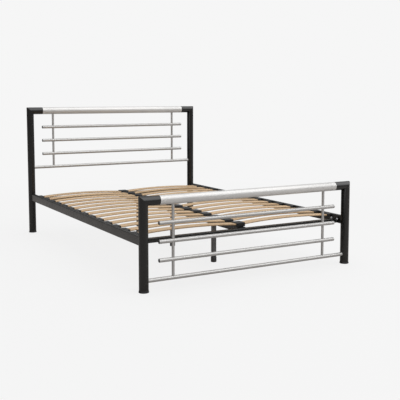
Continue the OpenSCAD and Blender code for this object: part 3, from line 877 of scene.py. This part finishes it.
def levelling_pad(name, body):
    """A levelling foot's pad: a flat sole, finger flutes, and a hollow round the stud."""
    low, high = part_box(f"{name}_leg_pad")
    r = (high.x - low.x) / 2
    top = high.z
    axis = floor_point(low, high)
    profile = soften([(0, r - 6 * MM), (0, r - 2.6 * MM), (1.2 * MM, r - 0.8 * MM), (3 * MM, r),
                      (top - 17 * MM, r), (top - 2 * MM, r - 2.8 * MM), (top, r - 4.5 * MM),
                      (top, 7 * MM), (top - 1.2 * MM, 6 * MM), (top - 1.2 * MM, 4.2 * MM)],
                     1.6 * MM, 5)
    rings = []
    for t, radius in profile:
        gripped = 8 * MM < t < top - 1.5 * MM and radius > 8 * MM
        depth = FLUTE_DEPTH if gripped else 0
        rings.append(placed(axis, "z", t, circle(
            lambda a, radius=radius, depth=depth: fluted(radius, depth, a), PAD_POINTS)))
    bm = bmesh.new()
    join_rings(bm, rings)
    piece(f"{name}_levelling_pad", bm, GREY_PLASTIC, [f"{name}_leg_pad"], body)


def levelling_stud(name, body):
    """A levelling foot's threaded stud, which starts inside the pad."""
    low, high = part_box(f"{name}_leg_stud")
    r = (high.x - low.x) / 2
    axis = floor_point(*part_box(f"{name}_leg_pad"))
    start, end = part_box(f"{name}_leg_pad")[1].z - 6 * MM, high.z
    steps = int((end - start) / THREAD_PITCH * 8)
    rings = []
    for k in range(steps + 1):
        t = start + (end - start) * k / steps
        rings.append(placed(axis, "z", t, circle(lambda a, t=t: threaded(r, t, a), STUD_POINTS)))
    bm = bmesh.new()
    join_rings(bm, rings)
    piece(f"{name}_levelling_stud", bm, ZINC, [f"{name}_leg_stud"], body)


# ---- Slats and holders ---------------------------------------------------

def slat_span():
    """Where a row of slats starts and ends along the bed."""
    low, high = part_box("slats_left")
    return low.y, high.y


def slat_positions(row_low, row_high):
    """The middle of each slat along the bed."""
    first = row_low + SLAT_WIDTH / 2
    pitch = (row_high - row_low - SLAT_WIDTH) / (SLAT_COUNT - 1)
    return [first + i * pitch for i in range(SLAT_COUNT)]


def slat_stations(reach):
    """Angles along a bowed slat, in radians, and how far its section is drawn in, to ease its ends."""
    ease = 0.5 * MM
    step = 0.0008
    between = [(-reach + 2 * reach * k / SLAT_STEPS, 0) for k in range(1, SLAT_STEPS)]
    return [(-reach, ease), (-reach + step, 0)] + between + [(reach - step, 0), (reach, ease)]


def slat(bm, x, y, base, radius, reach, number):
    """A bent plywood slat. Each point knows how deep in the plies it lies, and its slat's number."""
    ply_layer = bm.verts.layers.float.new("ply")
    number_layer = bm.verts.layers.float.new("slat_number")
    outline = round_rect(SLAT_WIDTH, SLAT_THICK, SLAT_EDGE, 6)
    rings = []
    for a, inset in slat_stations(reach):
        points = []
        for u, v in outline:
            r = radius + SLAT_THICK / 2 + v * (1 - 2 * inset / SLAT_THICK)
            points.append(Vector((x + r * math.sin(a), y + u * (1 - inset / SLAT_WIDTH),
                                  base - radius + r * math.cos(a))))
        rings.append(points)
    for row in join_rings(bm, rings):
        for vert, (_, v) in zip(row, outline):
            vert[ply_layer] = v / SLAT_THICK + 0.5
            vert[number_layer] = number


def slat_row(side):
    """One row of bowed slats. The first stands for the CAD model's row."""
    low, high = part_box(f"slats_{side}")
    crown = high.z - low.z - SLAT_THICK
    half = (high.x - low.x) / 2
    radius = (half ** 2 + crown ** 2) / (2 * crown)
    reach = math.asin(half / (radius + SLAT_THICK))
    x = middle(low, high).x
    for i, y in enumerate(slat_positions(low.y, high.y)):
        bm = bmesh.new()
        number = i + (SLAT_COUNT if side == "right" else 0)
        slat(bm, x, y, low.z + crown, radius, reach, number)
        stands_for = [f"slats_{side}"] if i == 0 else []
        piece(f"slat_{side}_{i + 1:02d}", bm, BIRCH, stands_for)


def socket_mouth(face, height, drop, depth):
    """A slat socket's sections, from its shell over its lip and down into the slot.

    Each is (distance, width, height, part of HOLDER_EDGE in its corners, height of its middle).
    """
    return [
        (face - 1.2 * MM, HOLDER_LENGTH, height, 1, drop),
        (face - 0.3 * MM, HOLDER_LENGTH - 1.2 * MM, height - 1.2 * MM, 0.8, drop),
        (face, HOLDER_LENGTH - 2.4 * MM, height - 2.4 * MM, 0.7, drop),
        (face, SLOT_LENGTH + 1.4 * MM, SLOT_HEIGHT + 1.4 * MM, 0.5, 0),
        (face - 1.5 * MM, SLOT_LENGTH, SLOT_HEIGHT, 0.35, 0),
        (face - depth, SLOT_LENGTH, SLOT_HEIGHT, 0.35, 0),
    ]


def sockets(name, node, x, z, sign, sections):
    """A socket at each slat's place along the bed, all in one piece. Sections run from x along sign."""
    bm = bmesh.new()
    for y in slat_positions(*slat_span()):
        origin = Vector((x, y, z))
        join_rings(bm, [
            placed(origin, "x", sign * t, round_rect(w, h, HOLDER_EDGE * k, centre=(0, up)))
            for t, w, h, k, up in sections
        ])
    piece(name, bm, BLACK_PLASTIC, [node])


def side_holders(side):
    """The plastic sockets on a side rail's inner face that the slats' outer ends sit in."""
    inward = -SIDES[side]
    low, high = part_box(f"side_holders_{side}")
    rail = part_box(f"side_rail_{side}")[1 if inward > 0 else 0].x
    tip = high.x if inward > 0 else low.x
    height = high.z - low.z
    back = [(0, HOLDER_LENGTH, height, 0.8, 0), (0.6 * MM, HOLDER_LENGTH, height, 1, 0)]
    mouth = socket_mouth(abs(tip - rail), height, 0, SIDE_SLOT)
    sockets(f"{side}_slat_sockets", f"side_holders_{side}", rail, middle(low, high).z, inward,
            back + mouth)


def centre_holders():
    """The double sockets on the beam that the slats' inner ends sit in."""
    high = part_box("centre_holders")[1]
    beam_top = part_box("centre_beam")[1].z
    slot_z = middle(*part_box("side_holders_left")).z
    drop = (beam_top + high.z) / 2 - slot_z
    mouth = socket_mouth(high.x, high.z - beam_top, drop, CENTRE_SLOT)
    opposite = [(-t, *rest) for t, *rest in mouth]
    sockets("centre_slat_sockets", "centre_holders", 0, slot_z, 1, mouth[::-1] + opposite)


# ---- The whole bed -------------------------------------------------------

def build():
    """All the pieces, from the end panels to the levelling feet."""
    for end in ENDS:
        for side in SIDES:
            post_and_return(end, side)
            foot_cap(end, side)
        top_rail(end)
        free_rods(end)
        welded_rods(end)
    for side in SIDES:
        side_rail(side)
        slat_row(side)
        side_holders(side)
    centre_holders()
    welds = cross_bars_and_plates()
    corner_fasteners()
    centre_beam()
    beam_brackets()
    beam_fasteners()
    legs(welds)
    piece("bar_welds", welds, BLACK)
    for name in LEGS:
        levelling_pad(name, f"{name}_leg_foot")
        levelling_stud(name, f"{name}_leg_foot")


def finish_kept_nodes():
    """Materials for the CAD nodes that stay: the hidden sleeves, spigots and weld nuts."""
    for name, material in (("head_joint_sleeves", ZINC), ("foot_joint_sleeves", ZINC),
                           ("post_spigots", BLACK), ("corner_nuts", ZINC)):
        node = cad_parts[name]
        node.data.materials.clear()
        node.data.materials.append(material)


# ---- Floor, light and camera ---------------------------------------------

# Brightness of the backdrop for the camera, and how much of it the floor near the bed takes on
BACKDROP = 0.921
FLOOR_GLOW = 0.87

# Distances from the middle of the bed, in metres, between which the floor fades into the backdrop
FADE_START, FADE_END = 1.5, 4.0
FLOOR_RADIUS = 60

# The floor's colour for the camera, and for the light and the reflections that it gives
FLOOR_FOR_CAMERA = (0.80, 0.80, 0.80)
FLOOR_FOR_LIGHT = (0.50, 0.475, 0.455)

# Brightness of the long light overhead that gloss shows
STRIP = 1.3

# Name, place, target, width and height in metres, and watts
SOFTBOXES = (
    ("overhead", (0.2, 0.0, 3.4), (0, 0, 0), 3.6, 3.6, 30),
    ("front_right", (2.4, -4.6, 2.4), (0, -0.4, 0.4), 2.4, 1.2, 40),
)

# The camera: lens in mm, shift in frame widths, place in metres, turns in radians
LENS = 65.31
SHIFT = -0.08
CAMERA_PLACE = (-2.2841, -4.3823, 1.0305)
CAMERA_YAW = 0.5189
CAMERA_PITCH = 0.0988


def floor_material():
    """Matt and pale near the bed, where it takes faint shadows, and as even as the backdrop far out."""
    mat = bpy.data.materials.new("pale_floor")
    mat.use_nodes = True
    tree = mat.node_tree
    tree.nodes.remove(tree.nodes["Principled BSDF"])
    coords = tree.nodes.new("ShaderNodeTexCoord").outputs["Object"]
    distance = tree.nodes.new("ShaderNodeVectorMath")
    distance.operation = "LENGTH"
    tree.links.new(coords, distance.inputs[0])
    camera_ray = tree.nodes.new("ShaderNodeLightPath").outputs["Is Camera Ray"]
    matt = tree.nodes.new("ShaderNodeBsdfDiffuse")
    tree.links.new(blend_color(tree, "MIX", camera_ray, FLOOR_FOR_LIGHT, FLOOR_FOR_CAMERA),
                   matt.inputs["Color"])
    glow = tree.nodes.new("ShaderNodeEmission")
    glow.inputs["Color"].default_value = (BACKDROP, BACKDROP, BACKDROP, 1)
    mix = tree.nodes.new("ShaderNodeMixShader")
    fade = remap(tree, distance.outputs["Value"], FADE_START, FADE_END, FLOOR_GLOW, 1.0)
    tree.links.new(math_node(tree, "MULTIPLY", fade, camera_ray), mix.inputs["Fac"])
    tree.links.new(matt.outputs["BSDF"], mix.inputs[1])
    tree.links.new(glow.outputs["Emission"], mix.inputs[2])
    tree.links.new(mix.outputs["Shader"], tree.nodes["Material Output"].inputs["Surface"])
    return mat


def stage_floor():
    """A wide round floor under the bed."""
    bm = bmesh.new()
    bmesh.ops.create_circle(bm, cap_ends=True, segments=96, radius=FLOOR_RADIUS)
    mesh = bpy.data.meshes.new("floor")
    bm.to_mesh(mesh)
    bm.free()
    floor = bpy.data.objects.new("floor", mesh)
    bpy.context.scene.collection.objects.link(floor)
    floor.data.materials.append(floor_material())


def grey_ramp(tree, source, stops):
    """A ramp of greys, with stops of (position, level)."""
    return ramp(tree, source, [(position, (level, level, level)) for position, level in stops])


def glossy_room(tree, room, depth, up):
    """The room as gloss shows it: dim at the back and low down, with a long light overhead."""
    back = grey_ramp(tree, depth, ((0.60, 1.0), (0.85, 0.45), (1.0, 0.35)))
    low = grey_ramp(tree, up, ((0.0, 0.25), (0.15, 0.35), (0.45, 1.1)))
    dimmed = blend_color(tree, "MULTIPLY", 1.0, room, back)
    dimmed = blend_color(tree, "MULTIPLY", 1.0, dimmed, low)
    reach = grey_ramp(tree, depth, ((0.03, 0.0), (0.12, STRIP), (0.46, STRIP), (0.64, 0.0)))
    height = grey_ramp(tree, up, ((0.15, 0.0), (0.45, 1.0)))
    strip = blend_color(tree, "MULTIPLY", 1.0, reach, height)
    return blend_color(tree, "ADD", 1.0, dimmed, strip)


def studio_world():
    """A soft room with a darker left side, its glossy version, and an even backdrop for the camera."""
    world = bpy.data.worlds.new("studio")
    bpy.context.scene.world = world
    world.use_nodes = True
    tree = world.node_tree
    coords = tree.nodes.new("ShaderNodeTexCoord").outputs["Generated"]
    split = tree.nodes.new("ShaderNodeSeparateXYZ")
    tree.links.new(coords, split.inputs[0])
    across, along, up = split.outputs
    sideways = remap(tree, across, -1.0, 1.0, 0.0, 1.0)
    depth = remap(tree, along, -1.0, 1.0, 0.0, 1.0)
    room = grey_ramp(tree, up, ((0.0, 0.72), (0.25, 0.95), (1.0, 1.05)))
    left = grey_ramp(tree, sideways, (
        (0.0, 0.15), (0.12, 0.30), (0.30, 0.80), (0.5, 1.0), (1.0, 1.1)))
    room = blend_color(tree, "MULTIPLY", 1.0, room, left)
    gloss = glossy_room(tree, room, depth, up)
    path = tree.nodes.new("ShaderNodeLightPath")
    lit = blend_color(tree, "MIX", path.outputs["Is Glossy Ray"], room, gloss)
    seen = blend_color(tree, "MIX", path.outputs["Is Camera Ray"], lit,
                       (BACKDROP, BACKDROP, BACKDROP))
    background = tree.nodes["Background"]
    tree.links.new(seen, background.inputs["Color"])
    background.inputs["Strength"].default_value = 1.0


def softbox(name, location, target, width, height, power):
    """A rectangular light, which gloss doesn't show."""
    data = bpy.data.lights.new(name, "AREA")
    data.shape = "RECTANGLE"
    data.size = width
    data.size_y = height
    data.energy = power
    lamp = bpy.data.objects.new(name, data)
    lamp.location = location
    lamp.visible_glossy = False
    lamp.rotation_euler = (Vector(target) - Vector(location)).to_track_quat("-Z", "Y").to_euler()
    bpy.context.scene.collection.objects.link(lamp)


def photo_camera():
    """The camera of the product view, at 400 by 400: a long lens, a little above the head rail."""
    data = bpy.data.cameras.new("camera")
    data.sensor_width = 36
    data.lens = LENS
    data.shift_y = SHIFT
    data.clip_end = 200
    camera = bpy.data.objects.new("camera", data)
    camera.location = CAMERA_PLACE
    camera.rotation_euler = (math.pi / 2 - CAMERA_PITCH, 0, -CAMERA_YAW)
    bpy.context.scene.collection.objects.link(camera)
    bpy.context.scene.camera = camera


build()
finish_kept_nodes()
stage_floor()
studio_world()
for box in SOFTBOXES:
    softbox(*box)
photo_camera()
bpy.context.scene.view_settings.view_transform = "Standard"
